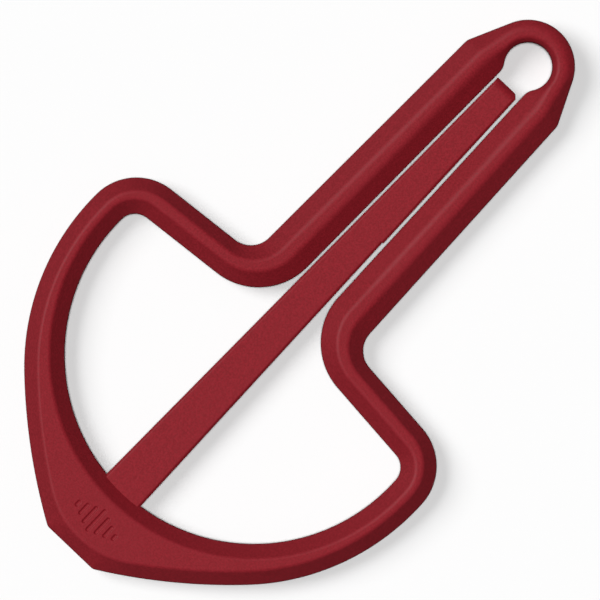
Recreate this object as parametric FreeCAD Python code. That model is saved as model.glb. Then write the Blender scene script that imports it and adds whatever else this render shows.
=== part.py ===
import FreeCAD, Part
import math
import os

# A jaw harp in moulded plastic: a flat frame and the springy tongue that runs between its two arms.
# Millimetres. X is across the frame, +Y runs from the base plate to the ring end and +Z is up.
# The frame lies on Z = 0, and the origin is under the middle of its length.
#
# The frame is a closed band. Its section is the same above and below the middle plane: a narrow land
# at half height, then a bevel on each side that rises to a flat. So the band is drawn as four loops:
# an outer and an inner outline at the land, and an outer and an inner ridge at the two faces.

V = FreeCAD.Vector

# frame: heights
THICKNESS = 5.0
LAND = 0.7  # height of the narrow upright land at half height

# frame: base plate and bow
BASE_Y = -45.0
BASE_HALF = 3.93  # half the width of the flat end of the base, to where its corner would be if sharp
BASE_CORNER_R = 1.1
BOW_CENTRE = V(0, -11.28, 0)
BOW_IN_R = 24.0
BOW_OUT_CENTRE = V(-2.3, -11.25, 0)  # each outer half is struck from a centre past the axis
BOW_OUT_R = 30.75
FLANK_ANGLE = -44.8  # where the round bow passes into the flatter flank beside the base
RIDGE_BASE_R = 12.0  # the ridge turns round the base in one arc
RIDGE_SPLITS = (-77.5, -73.5)  # angles on that arc that face the ends of the corner of the base

# frame: shoulders
SHOULDER_SLOPE = 5.37  # degrees, falling away from the axis
SHOULDER_OUT_Y = -1.32  # where the shoulder's edges, drawn on, would cross the axis
SHOULDER_IN_Y = -6.0
SHOULDER_OUT_R = 7.1
SHOULDER_IN_R = 2.45
CROTCH_R = 3.3  # between shoulder and arm, outside
THROAT_R = 8.6  # between shoulder and arm, inside

# frame: arms and ring
ARM_OUT_X = 8.8  # half widths on the line Y = 0
ARM_IN_X = 2.8
ARM_OUT_LEAN = 1.48  # degrees, towards the axis
ARM_IN_LEAN = 1.02
ARM_TOP_Y = 36.2  # where the arm turns in towards the ring
ARM_TOP_R = 1.5
RING_CENTRE = V(0, 39.1, 0)
RING_OUT_R = 5.9
EYE_R = 3.08
NECK_R = 2.3  # between the arm and the eye

# frame: how far each ridge stands in from its outline
BEVEL_BOW_OUT = 1.75
BEVEL_BOW_IN = 1.85
BEVEL_SHOULDER_OUT = 1.6
BEVEL_SHOULDER_IN = 1.85
BEVEL_ARM = 2.2
BEVEL_RING_OUT = 1.0
BEVEL_RING_IN = 0.62

# mark engraved in the base plate: a row of plain bars
MARK_Y = -40.2
MARK_LINE = 0.45
MARK_DEPTH = 0.2
BAR_PITCH = 1.05
BAR_HEIGHTS = (0.9, 1.8, 2.7, 3.6, 2.7, 1.8, 0.9)

# tongue
TONGUE_THICK = 1.3
TONGUE_EDGE = 0.3  # bevel along its upper and lower edges
TONGUE_X = -0.12  # it sits a little off the axis
TANG_END_Y = -41.0
ROOT_Y = BOW_CENTRE.y - BOW_IN_R
ROOT_HALF = 2.98
TIP_Y = 35.48
TIP_HALF = 1.68
STEP_Y = 10.2  # one edge steps out here and stays out to the tip
STEP_OUT = 0.15
TIP_CORNER = 0.5  # corner cut on the same edge
TIP_CHAMFER = (0.9, 0.8)  # along the tongue, and down
HINGE_SHARE = 0.15  # a bending strip turns about a point this share of its free length from the root
KNUCKLE_CLEARANCE = 0.05
CUT_HALF = 5.0  # half the width of a cutter that has to be wider than the tongue

MID_Z = THICKNESS / 2
MARK_FLOOR = THICKNESS - MARK_DEPTH
CUT_HEIGHT = 2 * MARK_DEPTH  # the mark's cutters stand proud of the plate
HINGE_Y = ROOT_Y + HINGE_SHARE * (TIP_Y - ROOT_Y)


def unit(degrees):
    """Unit vector at an angle from +X, in the plane of the frame."""
    a = math.radians(degrees)
    return V(math.cos(a), math.sin(a), 0)


def angle_of(vector):
    return math.degrees(math.atan2(vector.y, vector.x))


def arc(centre, radius, start, end):
    """Start, middle and end point of an arc between two angles."""
    return tuple(centre + unit(a) * radius for a in (start, (start + end) / 2, end))


def arc_between(centre, start, end):
    """The shorter arc about a centre from one point to another."""
    middle = ((start + end) * 0.5 - centre).normalize()
    return start, centre + middle * start.distanceToPoint(centre), end


def meet(p, p_angle, q, q_angle):
    """Crossing of two lines, each given by a point and an angle."""
    d, e = unit(p_angle), unit(q_angle)
    return p + d * (((q.x - p.x) * e.y - (q.y - p.y) * e.x) / (d.x * e.y - d.y * e.x))


def foot(point, on_line, angle):
    """The nearest point of a line to a point."""
    d = unit(angle)
    return on_line + d * (point - on_line).dot(d)


def line_meets_circle(on_line, angle, centre, radius):
    """Crossing of a line and a circle, the one further along the line."""
    near = foot(centre, on_line, angle)
    return near + unit(angle) * math.sqrt(radius**2 - near.distanceToPoint(centre) ** 2)


def mirrored(spans):
    """A half loop's spans on the other side of the axis, in travelling order."""
    return [tuple(V(-p.x, p.y, p.z) for p in reversed(span)) for span in reversed(spans)]


def flank_circle():
    """The large circle that runs on from the outer bow and through the corner of the base."""
    turn = unit(FLANK_ANGLE)
    chord = V(BASE_HALF, BASE_Y, 0) - BOW_OUT_CENTRE - turn * BOW_OUT_R
    radius = -chord.dot(chord) / (2 * chord.dot(turn))
    return BOW_OUT_CENTRE - turn * (radius - BOW_OUT_R), radius


def base_turn():
    """Centre of the ridge's base arc, and the angle where it passes into the flank's ridge."""
    flank_centre, flank_r = flank_circle()
    reach = flank_r - BEVEL_BOW_OUT - RIDGE_BASE_R
    centre = V(0, flank_centre.y - math.sqrt(reach**2 - flank_centre.x**2), 0)
    return centre, angle_of(centre - flank_centre)


def outline_base():
    """Flat end of the base, its rounded corner and the first stretch of the flank, at the land."""
    flank_centre, flank_r = flank_circle()
    corner = line_meets_circle(
        V(0, BASE_Y + BASE_CORNER_R, 0), 0, flank_centre, flank_r - BASE_CORNER_R
    )
    corner_end = angle_of(corner - flank_centre)
    return [
        (V(0, BASE_Y, 0), V(corner.x, BASE_Y, 0)),
        arc(corner, BASE_CORNER_R, -90, corner_end),
        arc(flank_centre, flank_r, corner_end, base_turn()[1]),
    ]


def ridge_base():
    """The same three spans on the ridge, where the base is round."""
    centre, turn_end = base_turn()
    turns = (-90, *RIDGE_SPLITS, turn_end)
    return [arc(centre, RIDGE_BASE_R, a, b) for a, b in zip(turns, turns[1:])]


def outer_half(base, bow, shoulder, arm, ring):
    """Right half of an outer loop, from base to ring top, set in by a width on each member."""
    flank_centre, flank_r = flank_circle()
    flank = arc(flank_centre, flank_r - bow, base_turn()[1], FLANK_ANGLE)

    shoulder_angle = 180 - SHOULDER_SLOPE
    shoulder_line = V(0, SHOULDER_OUT_Y, 0) + unit(shoulder_angle + 90) * shoulder
    corner_r = SHOULDER_OUT_R - shoulder
    bow_r = BOW_OUT_R - bow
    corner = line_meets_circle(
        shoulder_line + unit(shoulder_angle + 90) * corner_r,
        shoulder_angle - 180,
        BOW_OUT_CENTRE,
        bow_r - corner_r,
    )
    corner_start = angle_of(corner - BOW_OUT_CENTRE)
    corner_end = foot(corner, shoulder_line, shoulder_angle)

    arm_angle = 90 + ARM_OUT_LEAN
    arm_line = V(ARM_OUT_X, 0, 0) + unit(arm_angle + 90) * arm
    crotch_r = CROTCH_R + (shoulder + arm) / 2
    crotch = meet(
        shoulder_line + unit(shoulder_angle - 90) * crotch_r,
        shoulder_angle,
        arm_line + unit(arm_angle - 90) * crotch_r,
        arm_angle,
    )
    crotch_start = foot(crotch, shoulder_line, shoulder_angle)
    crotch_end = foot(crotch, arm_line, arm_angle)

    arm_top = meet(arm_line, arm_angle, V(0, ARM_TOP_Y, 0), 0)
    ring_r = RING_OUT_R - ring
    to_ring = arm_top - RING_CENTRE
    taper_end = angle_of(to_ring) + math.degrees(math.acos(ring_r / to_ring.Length))
    taper_angle = taper_end + 90
    turn = meet(
        arm_line + unit(arm_angle + 90) * ARM_TOP_R,
        arm_angle,
        arm_top + unit(taper_angle + 90) * ARM_TOP_R,
        taper_angle,
    )
    turn_start = foot(turn, arm_line, arm_angle)
    turn_end = foot(turn, arm_top, taper_angle)
    return base + [
        flank,
        arc(BOW_OUT_CENTRE, bow_r, FLANK_ANGLE, corner_start),
        arc(corner, corner_r, corner_start, angle_of(corner_end - corner)),
        (corner_end, crotch_start),
        arc_between(crotch, crotch_start, crotch_end),
        (crotch_end, turn_start),
        arc_between(turn, turn_start, turn_end),
        (turn_end, RING_CENTRE + unit(taper_end) * ring_r),
        arc(RING_CENTRE, ring_r, taper_end, 90),
    ]


def inner_members(bow, shoulder, arm):
    """Right half of an inner loop, from the bow to the foot of the arm, set out by a width."""
    shoulder_angle = 180 - SHOULDER_SLOPE
    shoulder_line = V(0, SHOULDER_IN_Y, 0) + unit(shoulder_angle - 90) * shoulder
    corner_r = SHOULDER_IN_R + shoulder
    corner = line_meets_circle(
        shoulder_line + unit(shoulder_angle + 90) * corner_r,
        shoulder_angle - 180,
        BOW_CENTRE,
        BOW_IN_R + bow - corner_r,
    )
    corner_start = angle_of(corner - BOW_CENTRE)
    corner_end = foot(corner, shoulder_line, shoulder_angle)

    arm_angle = 90 + ARM_IN_LEAN
    arm_line = V(ARM_IN_X, 0, 0) + unit(arm_angle - 90) * arm
    throat_r = THROAT_R - (shoulder + arm) / 2
    throat = meet(
        shoulder_line + unit(shoulder_angle - 90) * throat_r,
        shoulder_angle,
        arm_line + unit(arm_angle - 90) * throat_r,
        arm_angle,
    )
    throat_start = foot(throat, shoulder_line, shoulder_angle)
    throat_end = foot(throat, arm_line, arm_angle)
    spans = [
        arc(BOW_CENTRE, BOW_IN_R + bow, -90, corner_start),
        arc(corner, corner_r, corner_start, angle_of(corner_end - corner)),
        (corner_end, throat_start),
        arc_between(throat, throat_start, throat_end),
    ]
    return spans, arm_line, arm_angle


def inner_outline_half():
    """Right half of the inner outline. A neck joins the arm to the round eye."""
    spans, arm_line, arm_angle = inner_members(0, 0, 0)
    neck = line_meets_circle(
        arm_line + unit(arm_angle - 90) * NECK_R,
        arm_angle + 180,
        RING_CENTRE,
        EYE_R + NECK_R,
    )
    neck_start = foot(neck, arm_line, arm_angle)
    neck_end = RING_CENTRE + (neck - RING_CENTRE).normalize() * EYE_R
    return spans + [
        (spans[-1][-1], neck_start),
        arc_between(neck, neck_start, neck_end),
        arc(RING_CENTRE, EYE_R, angle_of(neck_end - RING_CENTRE), 0),
        arc(RING_CENTRE, EYE_R, 0, 90),
    ]


def inner_ridge_half():
    """Right half of the inner ridge. It runs straight up past the neck and round the ring."""
    spans, arm_line, arm_angle = inner_members(BEVEL_BOW_IN, BEVEL_SHOULDER_IN, BEVEL_ARM)
    outline = inner_outline_half()
    neck_start = foot(outline[4][-1], arm_line, arm_angle)
    ring_start = RING_CENTRE + V(EYE_R + BEVEL_RING_IN, 0, 0)
    neck_end = (neck_start + ring_start) * 0.5
    return spans + [
        (spans[-1][-1], neck_start),
        (neck_start, neck_end),
        (neck_end, ring_start),
        arc(RING_CENTRE, EYE_R + BEVEL_RING_IN, 0, 90),
    ]


def loop_edges(half, z):
    """A closed loop of edges at height z, from its right half."""
    edges = []
    for span in half + mirrored(half):
        points = [p + V(0, 0, z) for p in span]
        curve = Part.Arc(*points) if len(points) == 3 else Part.LineSegment(*points)
        edges.append(curve.toShape())
    return edges


def band_sides(outline, ridge):
    """Land and bevels along one side of the band."""
    land_low, land_high = MID_Z - LAND / 2, MID_Z + LAND / 2
    low, high = loop_edges(outline, land_low), loop_edges(outline, land_high)
    faces = [edge.extrude(V(0, 0, LAND)) for edge in low]
    faces += [Part.makeRuledSurface(a, b) for a, b in zip(loop_edges(ridge, 0), low)]
    faces += [Part.makeRuledSurface(a, b) for a, b in zip(high, loop_edges(ridge, THICKNESS))]
    return faces


def frame_blank():
    """The whole band, before its slot and its mark."""
    outer_outline = outer_half(outline_base(), 0, 0, 0, 0)
    outer_ridge = outer_half(
        ridge_base(), BEVEL_BOW_OUT, BEVEL_SHOULDER_OUT, BEVEL_ARM, BEVEL_RING_OUT
    )
    inner_ridge = inner_ridge_half()
    faces = band_sides(outer_outline, outer_ridge) + band_sides(inner_outline_half(), inner_ridge)
    for z in (0, THICKNESS):
        rim = Part.Wire(loop_edges(outer_ridge, z))
        window = Part.Wire(loop_edges(inner_ridge, z))
        faces.append(Part.Face(rim).cut(Part.Face(window)).Faces[0])
    solid = Part.makeSolid(Part.makeShell(faces))
    if solid.Volume < 0:
        solid.reverse()
    return solid


def bar(x, height):
    """The cutter for one upright stroke with round ends."""
    r = MARK_LINE / 2
    straight = height - MARK_LINE
    cutter = Part.makeBox(MARK_LINE, straight, CUT_HEIGHT, V(x - r, MARK_Y - straight / 2, MARK_FLOOR))
    for end in (-straight / 2, straight / 2):
        cutter = cutter.fuse(Part.makeCylinder(r, CUT_HEIGHT, V(x, MARK_Y + end, MARK_FLOOR)))
    return cutter


def mark():
    """What is taken out of the base plate for the engraved mark."""
    first = -BAR_PITCH * (len(BAR_HEIGHTS) - 1) / 2
    bars = [bar(first + i * BAR_PITCH, height) for i, height in enumerate(BAR_HEIGHTS)]
    return Part.makeCompound(bars)


def tongue_half(y):
    """Half the tongue's width at a place along it."""
    return ROOT_HALF + (TIP_HALF - ROOT_HALF) * (y - ROOT_Y) / (TIP_Y - ROOT_Y)


def tongue_outline(inset):
    """Corners of the whole tongue's plan, set in by a width along its two long edges."""

    def edge(side, y, out=0.0):
        return V(TONGUE_X + side * (tongue_half(y) + out - inset), y, 0)

    return [
        edge(-1, TANG_END_Y),
        edge(1, TANG_END_Y),
        edge(1, STEP_Y),
        edge(1, STEP_Y, STEP_OUT),
        edge(1, TIP_Y - TIP_CORNER, STEP_OUT),
        edge(1, TIP_Y, STEP_OUT - TIP_CORNER),
        edge(-1, TIP_Y),
    ]


def tongue_strip():
    """The tongue in one piece, tang and all."""
    half = TONGUE_THICK / 2
    layers = ((-half, TONGUE_EDGE), (-half + TONGUE_EDGE, 0), (half - TONGUE_EDGE, 0), (half, TONGUE_EDGE))
    wires = []
    for rise, inset in layers:
        corners = [p + V(0, 0, MID_Z + rise) for p in tongue_outline(inset)]
        wires.append(Part.makePolygon(corners + corners[:1]))
    strip = Part.makeLoft(wires, True, True)

    # the slope of the chamfer is carried on past the tip, so that the cutter is clear of it
    top = MID_Z + half
    along, down = TIP_CHAMFER
    start = V(-CUT_HALF, TIP_Y - along, top)
    wedge = Part.makePolygon([start, start + V(0, 2 * along, 0), start + V(0, 2 * along, -2 * down), start])
    return strip.cut(Part.Face(wedge).extrude(V(2 * CUT_HALF, 0, 0)))


def tongue_pieces(strip):
    """The strip parted at the place it bends about: a fixed root and a blade with a round end."""
    across = V(1, 0, 0)
    knuckle_r = TONGUE_THICK / 2
    half_width = tongue_half(HINGE_Y)
    knuckle = Part.makeCylinder(
        knuckle_r, 2 * half_width, V(TONGUE_X - half_width, HINGE_Y, MID_Z), across
    )
    cup = Part.makeCylinder(
        knuckle_r + KNUCKLE_CLEARANCE, 2 * CUT_HALF, V(-CUT_HALF, HINGE_Y, MID_Z), across
    )
    behind = Part.makeBox(2 * CUT_HALF, HINGE_Y - TANG_END_Y, THICKNESS, V(-CUT_HALF, TANG_END_Y, 0))
    blade = strip.cut(behind).fuse(knuckle)
    root = strip.common(behind).cut(cup)
    return root, blade


def export(shape, name):
    shape.exportStep(os.path.join("parts", name + ".step"))
    solids = shape.Solids
    print(name, len(solids), "solid", "valid" if shape.isValid() else "NOT VALID", round(shape.Volume, 1))


os.makedirs("parts", exist_ok=True)
strip = tongue_strip()
tongue_root, tongue_blade = tongue_pieces(strip)
frame = frame_blank().cut(tongue_root).cut(mark())
export(frame, "frame")
export(tongue_root, "tongue_root")
export(tongue_blade, "tongue_blade")
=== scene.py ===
import cmath
import math

import bpy
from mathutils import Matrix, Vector


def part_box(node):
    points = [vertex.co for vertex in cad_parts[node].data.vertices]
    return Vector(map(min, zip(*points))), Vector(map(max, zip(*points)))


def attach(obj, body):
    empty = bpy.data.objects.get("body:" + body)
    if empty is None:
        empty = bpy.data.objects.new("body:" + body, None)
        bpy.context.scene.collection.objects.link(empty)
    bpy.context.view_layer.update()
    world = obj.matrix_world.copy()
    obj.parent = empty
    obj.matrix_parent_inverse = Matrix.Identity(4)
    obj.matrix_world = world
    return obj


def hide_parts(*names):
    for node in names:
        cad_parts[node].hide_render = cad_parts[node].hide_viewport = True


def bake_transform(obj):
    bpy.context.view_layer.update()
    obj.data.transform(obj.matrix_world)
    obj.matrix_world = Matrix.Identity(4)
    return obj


# A jaw harp in matte dark red plastic: one frame moulding and one springy tongue.
# The plan is drawn in millimetres with complex numbers, X across the frame and Y along it,
# and every mesh is turned into metres as it is made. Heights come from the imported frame.
#
# The frame is a closed band. Its section has a narrow upright land at half height, then a bevel
# above and below it that rises to a flat. So the band is drawn as four loops: an outer and an inner
# outline at the land, and an outer and an inner ridge where the bevels meet the two flats.

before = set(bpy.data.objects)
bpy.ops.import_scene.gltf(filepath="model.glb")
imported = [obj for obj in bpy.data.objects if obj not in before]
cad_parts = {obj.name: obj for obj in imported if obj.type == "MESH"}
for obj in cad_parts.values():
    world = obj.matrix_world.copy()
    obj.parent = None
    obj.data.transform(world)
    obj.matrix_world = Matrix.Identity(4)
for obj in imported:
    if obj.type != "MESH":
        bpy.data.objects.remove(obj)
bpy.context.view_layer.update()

MM = 0.001
frame_low, frame_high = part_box("frame")
blade_low, blade_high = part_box("tongue_blade")

THICKNESS = (frame_high[2] - frame_low[2]) / MM
BASE_Y = frame_low[1] / MM
MID_Z = THICKNESS / 2
LAND = 0.7  # height of the narrow upright land at half height

# plan of the band: base plate and bow
BASE_HALF = 3.93  # half the width of the flat end, to where its corner would be if sharp
BASE_CORNER_R = 1.1
BOW_CENTRE = complex(0, -11.28)
BOW_IN_R = 24.0
BOW_OUT_CENTRE = complex(-2.3, -11.25)  # each outer half is struck from a centre past the axis
BOW_OUT_R = 30.75
FLANK_ANGLE = -44.8  # where the round bow passes into the flatter flank beside the base
RIDGE_BASE_R = 12.0  # the ridge turns round the base in one arc
RIDGE_SPLITS = (-77.5, -73.5)  # angles on that arc that face the ends of the corner of the base

# plan of the band: shoulders
SHOULDER_SLOPE = 5.37  # degrees, falling away from the axis
SHOULDER_OUT_Y = -1.32  # where the shoulder's edges, drawn on, would cross the axis
SHOULDER_IN_Y = -6.0
SHOULDER_OUT_R = 7.1
SHOULDER_IN_R = 2.45
CROTCH_R = 3.3  # between shoulder and arm, outside
THROAT_R = 8.6  # between shoulder and arm, inside

# plan of the band: arms and ring
ARM_OUT_X = 8.8  # half widths on the line Y = 0
ARM_IN_X = 2.8
ARM_OUT_LEAN = 1.48  # degrees, towards the axis
ARM_IN_LEAN = 1.02
ARM_TOP_Y = 36.2  # where the arm turns in towards the ring
ARM_TOP_R = 1.5
RING_CENTRE = complex(0, 39.1)
RING_OUT_R = 5.9
EYE_R = 3.08
NECK_R = 2.3  # between the arm and the eye

# how far each ridge stands in from its outline
BEVEL_BOW_OUT = 1.75
BEVEL_BOW_IN = 1.85
BEVEL_SHOULDER_OUT = 1.6
BEVEL_SHOULDER_IN = 1.85
BEVEL_ARM = 2.2
BEVEL_RING_OUT = 1.0
BEVEL_RING_IN = 0.62

# rounding of the section's corners, as the distance the curve starts before the corner
RIDGE_SOFT = 0.34  # the ridges of the bow and shoulders
ARM_SOFT = 0.5
RING_SOFT = 0.8  # the ring's outer ridge, down its bevel
RING_TOP_SOFT = 0.6  # the same ridge, across the flat
EYE_SOFT = 0.4  # the ridge round the eye
LAND_SOFT = 0.14
RING_LAND_SOFT = 0.35
ROOM = 0.98  # share of a straight stretch that the corners at its two ends may round off

# where the section changes along Y: the start of each change, and its length
ARM_CHANGE = (-2, 10)
INNER_ARM_CHANGE = (8, 32)
RING_CHANGE = (ARM_TOP_Y, 5)
EYE_CHANGE = (ARM_TOP_Y, 3)

RING_RISE = 1.2  # the ring's land is higher than the band's by this much each way
PARTING_RISE = 0.035  # a moulding line runs round the land at half height
PARTING_HALF = 0.07

# mark engraved in the base plate: a row of plain bars
MARK_CENTRE = complex(0, -40.2)
MARK_LINE = 0.45
MARK_DEPTH = 0.2
MARK_LIP = 0.06  # a stroke's wall starts this far outside it
MARK_WALL = 0.16  # and is this wide
BAR_PITCH = 1.05
BAR_HEIGHTS = (0.9, 1.8, 2.7, 3.6, 2.7, 1.8, 0.9)

# tongue
TONGUE_LOW = blade_low[2] / MM
TONGUE_HIGH = blade_high[2] / MM
TONGUE_EDGE = 0.3  # bevel along its upper and lower edges
TONGUE_SOFT = 0.09
TONGUE_X = -0.12  # it sits a little off the axis
TANG_END_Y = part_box("tongue_root")[0][1] / MM
ROOT_Y = (BOW_CENTRE - 1j * BOW_IN_R).imag
ROOT_HALF = 2.98
TIP_Y = blade_high[1] / MM
TIP_HALF = 1.68
STEP_Y = 10.2  # one edge steps out here and stays out to the tip
STEP_OUT = 0.15
TIP_CORNER = 0.5  # corner cut on the same edge
TIP_ROLL = (1.2, 0.8)  # the top rolls off at the tip: along the tongue, and down
TIP_LIP = 0.02  # least height of the edge's bevel there

# sections along half the frame, for each group of spans, and the rows along each section
GROUP_STATIONS = (44, 26, 8, 26, 22, 22, 34)
MARK_STATIONS = 72
MARK_REACH = 5.0  # the mark's stations are this far along the outer outline, from the axis
MARK_ROWS = 72
FLAT_ROWS = 5
CORNER_STEPS = 7
HOLD = 0.04  # share of a stretch at which a row holds the shading of the flat beside a rounded corner
TOP_TOLERANCE = 0.001  # a point this near the thickness is on the upper flat

# sections along the tongue, close together at the step, so that it stays crisp, and at the tip
TANG_STATIONS = 90
STEP_BEFORE = (-0.06, 0.0)
STEP_AFTER = (0.05, 0.12)
STEP_CLEAR = 0.4
BLADE_STATIONS = 45
TIP_CLEAR = 0.1
TIP_STATIONS = 16
TIP_HOLD = 0.03

# matte dark red plastic: colours, gloss, and rubbed edges that are partly wear and partly a painted
# highlight
PLASTIC_DARK = (0.200, 0.0094, 0.0148, 1)
PLASTIC_LIGHT = (0.272, 0.0130, 0.0216, 1)
PLASTIC_CLOUD = (0.240, 0.0130, 0.0203, 1)
# the edge colour, lighter and greyer: partly wear, partly a painted highlight along the ridges
PLASTIC_RUBBED_AND_HIGHLIGHT = (0.270, 0.0220, 0.0320, 1)
PLASTIC_IOR = 1.5
PLASTIC_SPECULAR = 0.38
PLASTIC_ROUGHNESS = (0.52, 0.64)
CLOUD_SHARE = 0.35
BLOTCH_SHARE = 0.3
RUB_AND_HIGHLIGHT_SHARES = (0.05, 0.3)  # how much the edges are lightened, as wear and as a painted highlight, where least and where most
GRAIN_STRENGTH = 0.5
GRAIN_DEPTH = 0.00006

# its noise patterns, each by its scale per metre and its detail
SPECK = (4200.0, 2.0)
BLOTCH = (1300.0, 2.0)
CLOUD = (90.0, 3.0)
GRAIN = (2300.0, 3.0)
NOISE_ROUGHNESS = 0.55

# the noise values between which a pattern goes from nothing to all of its effect
SPECK_RANGE = (0.38, 0.62)
BLOTCH_RANGE = (0.42, 0.66)
CLOUD_RANGE = (0.35, 0.65)
WIDE_RANGE = (0.3, 0.7)  # for roughness and for the edges' wear and painted highlight

# stage and camera
FLOOR_SIZE = 24.0
FLOOR_SEEN = (0.88, 0.88, 0.88, 1)
FLOOR_BOUNCE = (0.22, 0.22, 0.22, 1)  # as it lights the object
FLOOR_ROUGHNESS = 0.9
FLOOR_SPECULAR = 0.1
FIELD = 0.076  # width of the picture, at the height of the object
CAMERA_TURN = 43.59  # about +Z, in degrees
CAMERA_AT = (-0.54 * MM, -2.24 * MM)  # the middle of the picture
CAMERA_REACH = 100
LENS = 600.0
SENSOR = 36.0

# light, as the brightness that it alone would give a white surface facing it
KEY = 0.53
KEY_AZIMUTH = 201  # where it comes from, in degrees from +X
KEY_HEIGHT = 49  # degrees above the floor
KEY_SPREAD = 34
TOP = 0.69
TOP_SPREAD = 8
SKY = 0.03


# ---------------------------------------------------------------- plan geometry

def unit(degrees):
    """The unit vector at an angle from +X."""
    return cmath.rect(1, math.radians(degrees))


def angle_of(vector):
    """A vector's angle from +X, in degrees."""
    return math.degrees(cmath.phase(vector))


def dot(a, b):
    """Scalar product of two vectors."""
    return a.real * b.real + a.imag * b.imag


class Line:
    """A straight span of a loop."""

    def __init__(self, start, end):
        self.start, self.end = start, end
        self.length = abs(end - start)

    def at(self, share):
        return self.start + (self.end - self.start) * share


class Arc:
    """A round span of a loop, by centre, radius and two angles."""

    def __init__(self, centre, radius, first, last):
        self.centre, self.radius, self.first, self.last = centre, radius, first, last
        self.length = radius * math.radians(abs(last - first))
        self.start, self.end = self.at(0), self.at(1)

    def at(self, share):
        return self.centre + self.radius * unit(self.first + (self.last - self.first) * share)


def arc_between(centre, start, end):
    """The shorter arc about a centre from one point to another."""
    first = angle_of(start - centre)
    turn = (angle_of(end - centre) - first + 180) % 360 - 180
    return Arc(centre, abs(start - centre), first, first + turn)


def meet(p, p_angle, q, q_angle):
    """Crossing of two lines, each given by a point and an angle."""
    d, e = unit(p_angle), unit(q_angle)
    gap = q - p
    return p + d * ((gap.real * e.imag - gap.imag * e.real) / (d.real * e.imag - d.imag * e.real))


def foot(point, on_line, angle):
    """The nearest point of a line to a point."""
    d = unit(angle)
    return on_line + d * dot(point - on_line, d)


def line_meets_circle(on_line, angle, centre, radius):
    """Crossing of a line and a circle, the one further along the line."""
    near = foot(centre, on_line, angle)
    return near + unit(angle) * math.sqrt(radius**2 - abs(near - centre) ** 2)


def flank_circle():
    """The large circle that runs on from the outer bow and through the corner of the base."""
    turn = unit(FLANK_ANGLE)
    chord = complex(BASE_HALF, BASE_Y) - BOW_OUT_CENTRE - turn * BOW_OUT_R
    radius = -dot(chord, chord) / (2 * dot(chord, turn))
    return BOW_OUT_CENTRE - turn * (radius - BOW_OUT_R), radius


def base_turn():
    """Centre of the ridge's base arc, and the angle where it passes into the flank's ridge."""
    flank_centre, flank_r = flank_circle()
    reach = flank_r - BEVEL_BOW_OUT - RIDGE_BASE_R
    centre = 1j * (flank_centre.imag - math.sqrt(reach**2 - flank_centre.real**2))
    return centre, angle_of(centre - flank_centre)


def outline_base():
    """Flat end of the base, its rounded corner and the first stretch of the flank, at the land."""
    flank_centre, flank_r = flank_circle()
    corner = line_meets_circle(
        1j * (BASE_Y + BASE_CORNER_R), 0, flank_centre, flank_r - BASE_CORNER_R
    )
    corner_end = angle_of(corner - flank_centre)
    return [
        Line(1j * BASE_Y, complex(corner.real, BASE_Y)),
        Arc(corner, BASE_CORNER_R, -90, corner_end),
        Arc(flank_centre, flank_r, corner_end, base_turn()[1]),
    ]


def ridge_base():
    """The same three spans on the ridge, where the base is round."""
    centre, turn_end = base_turn()
    turns = (-90, *RIDGE_SPLITS, turn_end)
    return [Arc(centre, RIDGE_BASE_R, a, b) for a, b in zip(turns, turns[1:])]


def outer_half(base, bow, shoulder, arm, ring):
    """Right half of an outer loop, from base to ring top, set in by a width on each member."""
    flank_centre, flank_r = flank_circle()
    shoulder_angle = 180 - SHOULDER_SLOPE
    shoulder_line = 1j * SHOULDER_OUT_Y + unit(shoulder_angle + 90) * shoulder
    corner_r = SHOULDER_OUT_R - shoulder
    bow_r = BOW_OUT_R - bow
    corner = line_meets_circle(
        shoulder_line + unit(shoulder_angle + 90) * corner_r,
        shoulder_angle - 180,
        BOW_OUT_CENTRE,
        bow_r - corner_r,
    )
    corner_start = angle_of(corner - BOW_OUT_CENTRE)
    corner_end = foot(corner, shoulder_line, shoulder_angle)

    arm_angle = 90 + ARM_OUT_LEAN
    arm_line = ARM_OUT_X + unit(arm_angle + 90) * arm
    crotch_r = CROTCH_R + (shoulder + arm) / 2
    crotch = meet(
        shoulder_line + unit(shoulder_angle - 90) * crotch_r,
        shoulder_angle,
        arm_line + unit(arm_angle - 90) * crotch_r,
        arm_angle,
    )
    crotch_start = foot(crotch, shoulder_line, shoulder_angle)
    crotch_end = foot(crotch, arm_line, arm_angle)

    arm_top = meet(arm_line, arm_angle, 1j * ARM_TOP_Y, 0)
    ring_r = RING_OUT_R - ring
    to_ring = arm_top - RING_CENTRE
    taper_end = angle_of(to_ring) + math.degrees(math.acos(ring_r / abs(to_ring)))
    taper_angle = taper_end + 90
    turn = meet(
        arm_line + unit(arm_angle + 90) * ARM_TOP_R,
        arm_angle,
        arm_top + unit(taper_angle + 90) * ARM_TOP_R,
        taper_angle,
    )
    turn_start = foot(turn, arm_line, arm_angle)
    turn_end = foot(turn, arm_top, taper_angle)
    return base + [
        Arc(flank_centre, flank_r - bow, base_turn()[1], FLANK_ANGLE),
        Arc(BOW_OUT_CENTRE, bow_r, FLANK_ANGLE, corner_start),
        Arc(corner, corner_r, corner_start, angle_of(corner_end - corner)),
        Line(corner_end, crotch_start),
        arc_between(crotch, crotch_start, crotch_end),
        Line(crotch_end, turn_start),
        arc_between(turn, turn_start, turn_end),
        Line(turn_end, RING_CENTRE + unit(taper_end) * ring_r),
        Arc(RING_CENTRE, ring_r, taper_end, 90),
    ]


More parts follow.
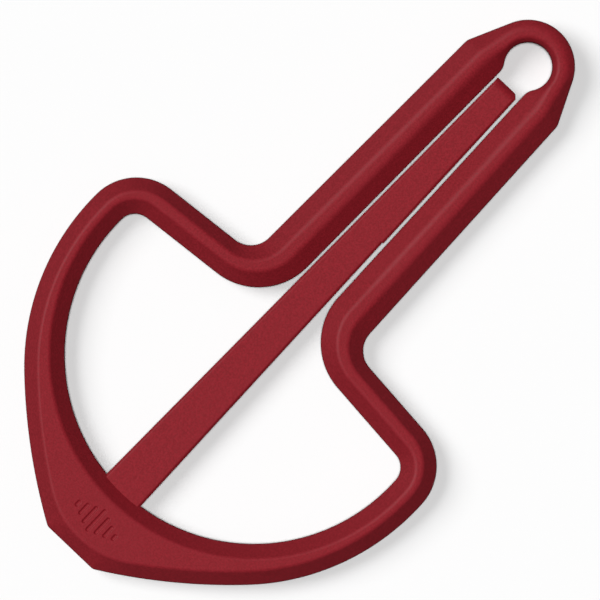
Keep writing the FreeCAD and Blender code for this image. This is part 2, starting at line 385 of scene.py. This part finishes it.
def inner_members(bow, shoulder, arm):
    """Right half of an inner loop, from the bow to the foot of the arm, set out by a width."""
    shoulder_angle = 180 - SHOULDER_SLOPE
    shoulder_line = 1j * SHOULDER_IN_Y + unit(shoulder_angle - 90) * shoulder
    corner_r = SHOULDER_IN_R + shoulder
    corner = line_meets_circle(
        shoulder_line + unit(shoulder_angle + 90) * corner_r,
        shoulder_angle - 180,
        BOW_CENTRE,
        BOW_IN_R + bow - corner_r,
    )
    corner_start = angle_of(corner - BOW_CENTRE)
    corner_end = foot(corner, shoulder_line, shoulder_angle)

    arm_angle = 90 + ARM_IN_LEAN
    arm_line = ARM_IN_X + unit(arm_angle - 90) * arm
    throat_r = THROAT_R - (shoulder + arm) / 2
    throat = meet(
        shoulder_line + unit(shoulder_angle - 90) * throat_r,
        shoulder_angle,
        arm_line + unit(arm_angle - 90) * throat_r,
        arm_angle,
    )
    throat_start = foot(throat, shoulder_line, shoulder_angle)
    throat_end = foot(throat, arm_line, arm_angle)
    spans = [
        Arc(BOW_CENTRE, BOW_IN_R + bow, -90, corner_start),
        Arc(corner, corner_r, corner_start, angle_of(corner_end - corner)),
        Line(corner_end, throat_start),
        arc_between(throat, throat_start, throat_end),
    ]
    return spans, arm_line, arm_angle


def inner_outline_half():
    """Right half of the inner outline. A neck joins the arm to the round eye."""
    spans, arm_line, arm_angle = inner_members(0, 0, 0)
    neck = line_meets_circle(
        arm_line + unit(arm_angle - 90) * NECK_R,
        arm_angle + 180,
        RING_CENTRE,
        EYE_R + NECK_R,
    )
    neck_start = foot(neck, arm_line, arm_angle)
    neck_end = RING_CENTRE + (neck - RING_CENTRE) / abs(neck - RING_CENTRE) * EYE_R
    return spans + [
        Line(spans[-1].end, neck_start),
        arc_between(neck, neck_start, neck_end),
        Arc(RING_CENTRE, EYE_R, angle_of(neck_end - RING_CENTRE), 0),
        Arc(RING_CENTRE, EYE_R, 0, 90),
    ]


def inner_ridge_half():
    """Right half of the inner ridge. It runs straight up past the neck and round the ring."""
    spans, arm_line, arm_angle = inner_members(BEVEL_BOW_IN, BEVEL_SHOULDER_IN, BEVEL_ARM)
    neck_start = foot(inner_outline_half()[4].end, arm_line, arm_angle)
    ring_start = RING_CENTRE + EYE_R + BEVEL_RING_IN
    neck_end = (neck_start + ring_start) / 2
    return spans + [
        Line(spans[-1].end, neck_start),
        Line(neck_start, neck_end),
        Line(neck_end, ring_start),
        Arc(RING_CENTRE, EYE_R + BEVEL_RING_IN, 0, 90),
    ]


# ---------------------------------------------------------------- mesh helpers

def steps(count):
    """Even shares from 0 up to, but not including, 1."""
    return [i / count for i in range(count)]


def mesh_object(name, points, faces):
    """A smooth-shaded mesh object from points in millimetres."""
    mesh = bpy.data.meshes.new(name)
    mesh.from_pydata([(x * MM, y * MM, z * MM) for x, y, z in points], [], faces)
    mesh.polygons.foreach_set("use_smooth", [True] * len(mesh.polygons))
    mesh.update()
    piece = bpy.data.objects.new(name, mesh)
    bpy.context.scene.collection.objects.link(piece)
    return piece


def weld_rings(rings, closed):
    """Quads between rings of equal length, each ring a closed section."""
    count = len(rings[0])
    faces = []
    last = len(rings) if closed else len(rings) - 1
    for i in range(last):
        a, b = i * count, (i + 1) % len(rings) * count
        for j in range(count):
            k = (j + 1) % count
            faces.append((a + j, b + j, b + k, a + k))
    return faces


def smooth(t):
    """Smooth step from 0 to 1, flat outside."""
    t = min(1.0, max(0.0, t))
    return t * t * (3 - 2 * t)


def between(a, b, share):
    """The number that is a share of the way from one to another."""
    return a + (b - a) * share


def stretch(start, end, count):
    """Even places from one to another, without the last."""
    return [between(start, end, s) for s in steps(count)]


def passed(point, change):
    """How far a point has come through a change along Y, from 0 to 1."""
    start, length = change
    return smooth((point.imag - start) / length)


def room(other, gap):
    """How much of a stretch one corner may round off, when the corner at its far end wants some."""
    return max(ROOM / 2 * gap.length, ROOM * gap.length - other)


def rounded_section(corners, softs, cuts):
    """A closed section with its corners rounded.

    softs gives, for each corner, how far before it the curve starts; cuts gives the shares at which
    the straight stretch after each corner is divided. Returns the points, and for each point how
    close it is to a corner, from 0 to 1.
    """
    count = len(corners)
    points, edge = [], []
    for i, corner in enumerate(corners):
        before, after = corners[i - 1], corners[(i + 1) % count]
        gap_in, gap_out = before - corner, after - corner
        room_in = min(softs[i][0], room(softs[i - 1][1], gap_in))
        room_out = min(softs[i][1], room(softs[(i + 1) % count][0], gap_out))
        start = corner + gap_in.normalized() * room_in
        end = corner + gap_out.normalized() * room_out
        for s in range(CORNER_STEPS + 1):
            t = s / CORNER_STEPS
            points.append(start * (1 - t) ** 2 + corner * (2 * t * (1 - t)) + end * t**2)
            edge.append(math.sin(math.pi * t))
        next_in = min(softs[(i + 1) % count][0], room(softs[i][1], gap_out))
        next_start = after - gap_out.normalized() * next_in
        for t in cuts[i]:
            points.append(end.lerp(next_start, t))
            edge.append(0.0)
    return points, edge


def even(count):
    """Shares that cut a stretch evenly."""
    return [(i + 1) / (count + 1) for i in range(count)]


def held(count):
    """Even cuts of a stretch, with one more close to each end."""
    return [HOLD] + even(count) + [1 - HOLD]


def note_edges(piece, sections):
    """Stores how close each point is to a corner, which the material reads for wear and a painted
    highlight on the edges.
    """
    wear = piece.data.attributes.new("edge", "FLOAT", "POINT")
    wear.data.foreach_set("value", [e for _, edge in sections for e in edge])


# ---------------------------------------------------------------- frame moulding

# spans of the outer and the inner loop that belong together
GROUPS = (
    ((0, 1, 2, 3, 4), (0,)),
    ((5,), (1,)),
    ((6,), (2,)),
    ((7,), (3,)),
    ((8,), (4,)),
    ((9, 10), (5, 6)),
    ((11,), (7,)),
)


def stations():
    """Group and share of every section along the right half, close together across the mark."""
    outline = outer_half(outline_base(), 0, 0, 0, 0)
    reach = MARK_REACH / sum(outline[i].length for i in GROUPS[0][0])
    shares = stretch(0, reach, MARK_STATIONS) + stretch(reach, 1, GROUP_STATIONS[0])
    places = [(0, share) for share in shares]
    for group, count in enumerate(GROUP_STATIONS[1:], start=1):
        places += [(group, share) for share in steps(count)]
    return places + [(len(GROUPS) - 1, 1.0)]


def locate(outline, members, share):
    """Which of a group's spans holds a share of the group's length, and where in that span."""
    whole = sum(outline[i].length for i in members)
    reach = share * whole
    for i in members:
        if reach <= outline[i].length or i == members[-1]:
            return i, min(1.0, reach / outline[i].length)
        reach -= outline[i].length


def mark_depth(x, y):
    """How deep the mark is cut at a place on the base plate, from 0 to 1, with sloping walls."""
    place = complex(x, y) - MARK_CENTRE
    first = -BAR_PITCH * (len(BAR_HEIGHTS) - 1) / 2
    away = math.inf
    for i, height in enumerate(BAR_HEIGHTS):
        past_end = max(0.0, abs(place.imag) - (height - MARK_LINE) / 2)
        away = min(away, math.hypot(place.real - first - i * BAR_PITCH, past_end))
    return smooth((MARK_LINE / 2 + MARK_LIP - away) / MARK_WALL)


def frame_section(place, loops):
    """One section of the band: its points, and how close each is to a corner."""
    outer_line, outer_ridge, inner_ridge, inner_line = loops
    group, share = place
    i, s = locate(outer_line, GROUPS[group][0], share)
    j, t = locate(inner_line, GROUPS[group][1], share)
    rim_out, ridge_out = outer_line[i].at(s), outer_ridge[i].at(s)
    ridge_in, rim_in = inner_ridge[j].at(t), inner_line[j].at(t)

    # the inner ridge softens along the arm, and both sides get rounder at the ring
    ring_out = passed(ridge_out, RING_CHANGE)
    arm_in = passed(ridge_in, INNER_ARM_CHANGE)
    ring_in = passed(rim_in, EYE_CHANGE)
    rise_out = LAND / 2 + RING_RISE * ring_out
    rise_in = LAND / 2 + RING_RISE * ring_in
    # from the outer land over the upper flat to the inner land, and back along the underside
    corners = [
        Vector((p.real, p.imag, z))
        for p, z in (
            (rim_out, MID_Z - rise_out), (rim_out, MID_Z + rise_out),
            (ridge_out, THICKNESS), (ridge_in, THICKNESS),
            (rim_in, MID_Z + rise_in), (rim_in, MID_Z - rise_in),
            (ridge_in, 0), (ridge_out, 0),
        )
    ]
    ridge = between(RIDGE_SOFT, ARM_SOFT, passed(ridge_out, ARM_CHANGE))
    soft_out = between(ridge, RING_SOFT, ring_out)
    soft_in = between(between(ridge, RING_SOFT, arm_in), EYE_SOFT, ring_in)
    top_out = between(ridge, RING_TOP_SOFT, ring_out)
    top_in = between(ridge, EYE_SOFT, ring_out)
    land_out = between(LAND_SOFT, RING_LAND_SOFT, ring_out)
    land_in = between(LAND_SOFT, RING_LAND_SOFT, ring_in)
    outer, inner = (soft_out, top_out), (top_in, soft_in)
    softs = [
        (LAND_SOFT, land_out), (land_out, land_out), outer, inner,
        (land_in, land_in), (land_in, LAND_SOFT), inner[::-1], outer[::-1],
    ]
    line = PARTING_HALF / LAND
    parting = [0.5 - line, 0.5, 0.5 + line]
    flat = held(FLAT_ROWS)
    cuts = [parting, flat, even(MARK_ROWS), flat, parting, flat, flat, flat]
    points, edge = rounded_section(corners, softs, cuts)

    # the moulding line stands proud in the middle of each land, and gets the full edge colour of wear
    # and painted highlight
    outwards = (corners[0] - corners[5]).normalized()
    for corner, way in ((0, outwards), (4, -outwards)):
        middle = first_cut(cuts, corner) + 1
        points[middle] = points[middle] + way * PARTING_RISE
        edge[middle] = 1.0
    return points, edge


def first_cut(cuts, corner):
    """Index of the first cut after a corner in the section's list of points."""
    return (corner + 1) * (CORNER_STEPS + 1) + sum(len(c) for c in cuts[:corner])


def frame_moulding():
    """The whole frame as one closed band of quads."""
    loops = (
        outer_half(outline_base(), 0, 0, 0, 0),
        outer_half(ridge_base(), BEVEL_BOW_OUT, BEVEL_SHOULDER_OUT, BEVEL_ARM, BEVEL_RING_OUT),
        inner_ridge_half(),
        inner_outline_half(),
    )
    right = [frame_section(place, loops) for place in stations()]
    left = [([Vector((-p.x, p.y, p.z)) for p in points], edge) for points, edge in right[-2:0:-1]]
    sections = right + left
    points = [p.copy() for section, _ in sections for p in section]
    for p in points:
        if p.z > THICKNESS - TOP_TOLERANCE and p.y < ROOT_Y:
            p.z -= MARK_DEPTH * mark_depth(p.x, p.y)
    faces = weld_rings([section for section, _ in sections], closed=True)
    piece = mesh_object("frame_moulding", points, faces)
    note_edges(piece, sections)
    return piece


# ---------------------------------------------------------------- tongue

def tongue_half(y):
    """Half the tongue's width at a place along it."""
    return ROOT_HALF + (TIP_HALF - ROOT_HALF) * (y - ROOT_Y) / (TIP_Y - ROOT_Y)


def tongue_section(y, stepped):
    """One section of the tongue: its points, and how close each is to a corner."""
    left = TONGUE_X - tongue_half(y)
    right = TONGUE_X + tongue_half(y) + (STEP_OUT if stepped else 0)
    right -= max(0.0, y - (TIP_Y - TIP_CORNER))
    along, down = TIP_ROLL
    top = TONGUE_HIGH - down * max(0.0, (y - TIP_Y) / along + 1) ** 2
    shoulder = min(TONGUE_HIGH - TONGUE_EDGE, top - TIP_LIP)
    corners = [
        Vector((x, y, z))
        for x, z in (
            (right, TONGUE_LOW + TONGUE_EDGE), (right, shoulder),
            (right - TONGUE_EDGE, top), (left + TONGUE_EDGE, top),
            (left, shoulder), (left, TONGUE_LOW + TONGUE_EDGE),
            (left + TONGUE_EDGE, TONGUE_LOW), (right - TONGUE_EDGE, TONGUE_LOW),
        )
    ]
    softs = [(TONGUE_SOFT, TONGUE_SOFT)] * len(corners)
    flat, bevel = held(FLAT_ROWS), even(1)
    cuts = [bevel, bevel, flat, bevel, bevel, bevel, flat, bevel]
    return rounded_section(corners, softs, cuts)


def tongue_places():
    """Places of the sections along the tongue, and whether each is past the step."""
    tip_start = TIP_Y - TIP_ROLL[0] - TIP_CLEAR
    before = stretch(TANG_END_Y, STEP_Y, TANG_STATIONS) + [STEP_Y + d for d in STEP_BEFORE]
    after = [STEP_Y + d for d in STEP_AFTER]
    after += stretch(STEP_Y + STEP_CLEAR, tip_start, BLADE_STATIONS)
    after += stretch(tip_start, TIP_Y, TIP_STATIONS) + [TIP_Y - TIP_HOLD, TIP_Y]
    return [(y, False) for y in before] + [(y, True) for y in after]


def tongue_strip():
    """The tongue in one piece, from the end of its tang to its tip."""
    sections = [tongue_section(y, stepped) for y, stepped in tongue_places()]
    points = [p for section, _ in sections for p in section]
    faces = weld_rings([section for section, _ in sections], closed=False)
    count = len(sections[0][0])
    faces.append(tuple(range(count)))
    faces.append(tuple(range(len(points) - 1, len(points) - count - 1, -1)))
    piece = mesh_object("tongue_strip", points, faces)
    for polygon in piece.data.polygons[-2:]:
        polygon.use_smooth = False
    note_edges(piece, sections)
    return piece


# ---------------------------------------------------------------- material

def node(tree, kind, **values):
    """A shader node with its properties and unlinked inputs set by name."""
    made = tree.nodes.new(kind)
    for name, value in values.items():
        key = name.replace("_", " ").title()
        if key in made.inputs:
            made.inputs[key].default_value = value
        else:
            setattr(made, name, value)
    return made


def noise(tree, place, pattern):
    """Noise in the object's own space, from about 0 to 1, by its scale and detail."""
    scale, detail = pattern
    made = node(tree, "ShaderNodeTexNoise", scale=scale, detail=detail, roughness=NOISE_ROUGHNESS)
    tree.links.new(place.outputs["Object"], made.inputs["Vector"])
    return made.outputs["Fac"]


def ramp(tree, value, taken, given):
    """A value mapped from one range to another, and held at its ends."""
    made = node(tree, "ShaderNodeMapRange")
    made.inputs["From Min"].default_value, made.inputs["From Max"].default_value = taken
    made.inputs["To Min"].default_value, made.inputs["To Max"].default_value = given
    tree.links.new(value, made.inputs["Value"])
    return made.outputs["Result"]


def colour_socket(sockets, name):
    """The colour socket of a name, on a mix node, which has one of each name for every data type."""
    return next(s for s in sockets if s.name == name and s.type == "RGBA")


def mixed(tree, factor, a, b):
    """Colour mix of two colours or sockets."""
    made = node(tree, "ShaderNodeMix", data_type="RGBA")
    tree.links.new(factor, made.inputs["Factor"])
    for name, value in (("A", a), ("B", b)):
        socket = colour_socket(made.inputs, name)
        if isinstance(value, tuple):
            socket.default_value = value
        else:
            tree.links.new(value, socket)
    return colour_socket(made.outputs, "Result")


def moulded_plastic(name):
    """Matte dark red plastic: a fine moulded grain, faint cloudiness, and edges lightened partly as
    wear and partly as a painted highlight.
    """
    material = bpy.data.materials.new(name)
    material.use_nodes = True
    tree = material.node_tree
    shader = tree.nodes["Principled BSDF"]
    place = node(tree, "ShaderNodeTexCoord")

    speck = noise(tree, place, SPECK)
    cloud = noise(tree, place, CLOUD)
    base = mixed(tree, ramp(tree, speck, SPECK_RANGE, (0, 1)), PLASTIC_DARK, PLASTIC_LIGHT)
    base = mixed(tree, ramp(tree, cloud, CLOUD_RANGE, (0, CLOUD_SHARE)), base, PLASTIC_CLOUD)
    blotch = noise(tree, place, BLOTCH)
    base = mixed(tree, ramp(tree, blotch, BLOTCH_RANGE, (0, BLOTCH_SHARE)), base, PLASTIC_DARK)
    # the edges are lightened and greyed: partly wear, partly a painted highlight
    edge = node(tree, "ShaderNodeAttribute", attribute_name="edge")
    rub_and_highlight = node(tree, "ShaderNodeMath", operation="MULTIPLY")
    tree.links.new(edge.outputs["Fac"], rub_and_highlight.inputs[0])
    tree.links.new(ramp(tree, cloud, WIDE_RANGE, RUB_AND_HIGHLIGHT_SHARES), rub_and_highlight.inputs[1])
    base = mixed(tree, rub_and_highlight.outputs[0], base, PLASTIC_RUBBED_AND_HIGHLIGHT)
    tree.links.new(base, shader.inputs["Base Color"])
    tree.links.new(ramp(tree, speck, WIDE_RANGE, PLASTIC_ROUGHNESS), shader.inputs["Roughness"])
    shader.inputs["IOR"].default_value = PLASTIC_IOR
    shader.inputs["Specular IOR Level"].default_value = PLASTIC_SPECULAR

    grain = noise(tree, place, GRAIN)
    bump = node(tree, "ShaderNodeBump", strength=GRAIN_STRENGTH, distance=GRAIN_DEPTH)
    tree.links.new(grain, bump.inputs["Height"])
    tree.links.new(bump.outputs["Normal"], shader.inputs["Normal"])
    return material


# ---------------------------------------------------------------- stage, light and camera

def floor():
    """The floor, pale to the camera and darker to the light that it bounces back onto the object."""
    mesh = bpy.data.meshes.new("floor")
    half = FLOOR_SIZE / 2
    corners = [(-half, -half, 0), (half, -half, 0), (half, half, 0), (-half, half, 0)]
    mesh.from_pydata(corners, [], [(0, 1, 2, 3)])
    piece = bpy.data.objects.new("floor", mesh)
    bpy.context.scene.collection.objects.link(piece)
    piece.visible_glossy = False
    material = bpy.data.materials.new("floor")
    material.use_nodes = True
    tree = material.node_tree
    shader = tree.nodes["Principled BSDF"]
    path = node(tree, "ShaderNodeLightPath")
    shade = mixed(tree, path.outputs["Is Diffuse Ray"], FLOOR_SEEN, FLOOR_BOUNCE)
    tree.links.new(shade, shader.inputs["Base Color"])
    shader.inputs["Roughness"].default_value = FLOOR_ROUGHNESS
    shader.inputs["Specular IOR Level"].default_value = FLOOR_SPECULAR
    mesh.materials.append(material)


def sun(name, level, azimuth, height, spread, glossy):
    """A sun lamp by where its light comes from, in degrees, and whether it shows in gloss."""
    data = bpy.data.lights.new(name, "SUN")
    data.energy = math.pi * level
    data.angle = math.radians(spread)
    lamp = bpy.data.objects.new(name, data)
    a, h = math.radians(azimuth), math.radians(height)
    coming_from = Vector((math.cos(a) * math.cos(h), math.sin(a) * math.cos(h), math.sin(h)))
    lamp.rotation_euler = coming_from.to_track_quat("Z", "Y").to_euler()
    lamp.visible_glossy = glossy
    bpy.context.scene.collection.objects.link(lamp)


def lights():
    """A soft key from the side, a narrow light from straight above, and a faint even sky."""
    sun("key", KEY, KEY_AZIMUTH, KEY_HEIGHT, KEY_SPREAD, True)
    sun("top", TOP, 0, 90, TOP_SPREAD, False)
    world = bpy.data.worlds.new("studio")
    world.use_nodes = True
    background = world.node_tree.nodes["Background"]
    background.inputs["Color"].default_value = (1, 1, 1, 1)
    background.inputs["Strength"].default_value = SKY
    bpy.context.scene.world = world


def camera():
    """A long lens that looks straight down on the harp."""
    data = bpy.data.cameras.new("camera")
    data.lens = LENS
    data.sensor_width = SENSOR
    data.clip_end = CAMERA_REACH
    eye = bpy.data.objects.new("camera", data)
    height = FIELD * LENS / SENSOR + MID_Z * MM
    eye.location = (CAMERA_AT[0], CAMERA_AT[1], height)
    eye.rotation_euler = (0, 0, math.radians(CAMERA_TURN))
    bpy.context.scene.collection.objects.link(eye)
    bpy.context.scene.camera = eye
    bpy.context.scene.view_settings.view_transform = "Standard"
    bpy.context.scene.view_settings.look = "None"


# ---------------------------------------------------------------- the scene

floor()
lights()
camera()

moulding = frame_moulding()
moulding.data.materials.append(moulded_plastic("frame_plastic"))
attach(moulding, "frame")
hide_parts("frame")

tongue = tongue_strip()
tongue.data.materials.append(moulded_plastic("tongue_plastic"))
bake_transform(tongue)
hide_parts("tongue_root", "tongue_blade")
